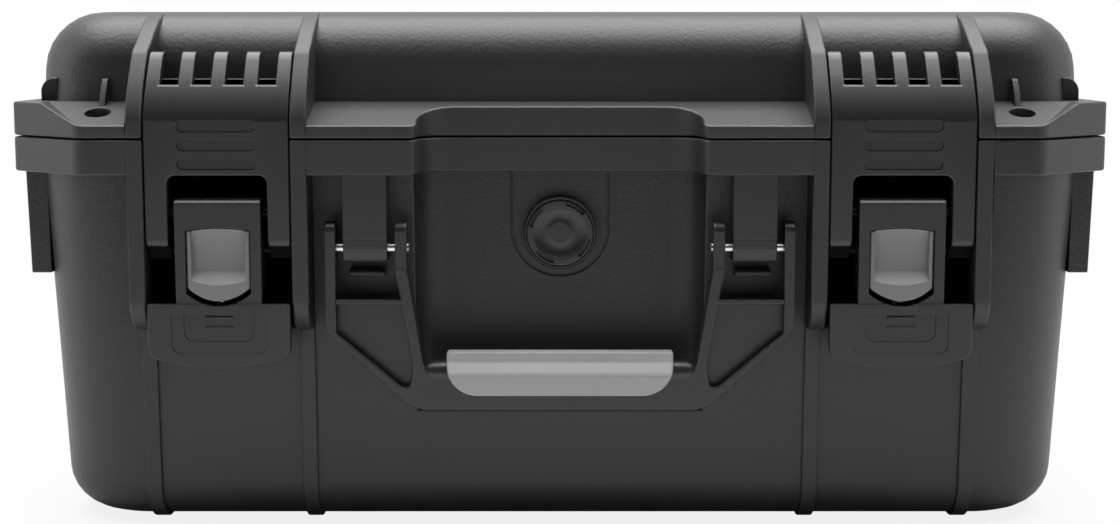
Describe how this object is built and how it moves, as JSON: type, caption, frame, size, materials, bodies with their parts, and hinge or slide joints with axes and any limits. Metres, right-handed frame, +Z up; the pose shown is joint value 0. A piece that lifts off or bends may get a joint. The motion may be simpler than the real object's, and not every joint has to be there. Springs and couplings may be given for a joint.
{
  "type": "graded card case",
  "caption": "Moulded hard case with a hinged lid, front latches, a fold-down handle, a pressure vent and channelled foam for graded cards.",
  "frame": {"origin": "centre of the case's bounding box in X and Y, on the plane under its feet", "axes": "+X to the right seen from the latches, +Y from the latches to the hinges, +Z up"},
  "size_m": [0.3792, 0.2996, 0.1798],
  "materials": {
    "shell_plastic": "fine leather grain",
    "latch_plastic": "satin",
    "grey_plastic": "satin",
    "pin_steel": "polished",
    "foam": "matt closed-cell",
    "seal_rubber": "matt"
  },
  "bodies": {
    "base": {"base_shell": "shell_plastic", "base_foam": "foam", "hinge_pin_left": "pin_steel", "hinge_pin_right": "pin_steel", "lever_pin_left": "pin_steel", "lever_pin_right": "pin_steel", "handle_pin_left": "pin_steel", "handle_pin_right": "pin_steel", "vent_body": "shell_plastic", "vent_cap": "latch_plastic", "vent_membrane": "seal_rubber", "vent_nut": "latch_plastic", "vent_seal": "seal_rubber"},
    "lid": {"lid_shell": "shell_plastic", "lid_seal": "seal_rubber", "lid_foam": "foam"},
    "lever_left": {"latch_lever_left": "latch_plastic", "claw_pin_left": "pin_steel", "button_spring_left": "pin_steel"},
    "lever_right": {"latch_lever_right": "latch_plastic", "claw_pin_right": "pin_steel", "button_spring_right": "pin_steel"},
    "claw_left": {"latch_claw_left": "latch_plastic"},
    "claw_right": {"latch_claw_right": "latch_plastic"},
    "button_left": {"latch_button_left": "grey_plastic"},
    "button_right": {"latch_button_right": "grey_plastic"},
    "handle": {"handle_frame": "latch_plastic", "handle_grip": "grey_plastic"}
  },
  "joints": [
    {"name": "lid_hinge", "type": "hinge", "parent": "base", "child": "lid", "pos_m": [0, 0.14565, 0.1367], "axis": [-1, 0, 0], "range_deg": [0, 95]},
    {"name": "lever_hinge_left", "type": "hinge", "parent": "base", "child": "lever_left", "pos_m": [-0.1149, -0.14135, 0.1117], "axis": [-1, 0, 0], "range_deg": [0, 100]},
    {"name": "lever_hinge_right", "type": "hinge", "parent": "base", "child": "lever_right", "pos_m": [0.1149, -0.14135, 0.1117], "axis": [-1, 0, 0], "range_deg": [0, 100]},
    {"name": "claw_hinge_left", "type": "hinge", "parent": "lever_left", "child": "claw_left", "pos_m": [-0.1149, -0.14035, 0.0992], "axis": [-1, 0, 0], "range_deg": [-121, 1]},
    {"name": "claw_hinge_right", "type": "hinge", "parent": "lever_right", "child": "claw_right", "pos_m": [0.1149, -0.14035, 0.0992], "axis": [-1, 0, 0], "range_deg": [-121, 1]},
    {"name": "button_slide_left", "type": "slide", "parent": "lever_left", "child": "button_left", "axis": [0, 0, -1], "range_m": [0, 0.0015], "stiffness_N_per_m": 600, "deforming": ["button_spring_left"]},
    {"name": "button_slide_right", "type": "slide", "parent": "lever_right", "child": "button_right", "axis": [0, 0, -1], "range_m": [0, 0.0015], "stiffness_N_per_m": 600, "deforming": ["button_spring_right"]},
    {"name": "handle_hinge", "type": "hinge", "parent": "base", "child": "handle", "pos_m": [0, -0.14285, 0.1], "axis": [-1, 0, 0], "range_deg": [0, 100]}
  ],
  "couplings": [
    {"joint": "claw_hinge_left", "follows": "lever_hinge_left", "ratio": -1.2},
    {"joint": "claw_hinge_right", "follows": "lever_hinge_right", "ratio": -1.2}
  ]
}
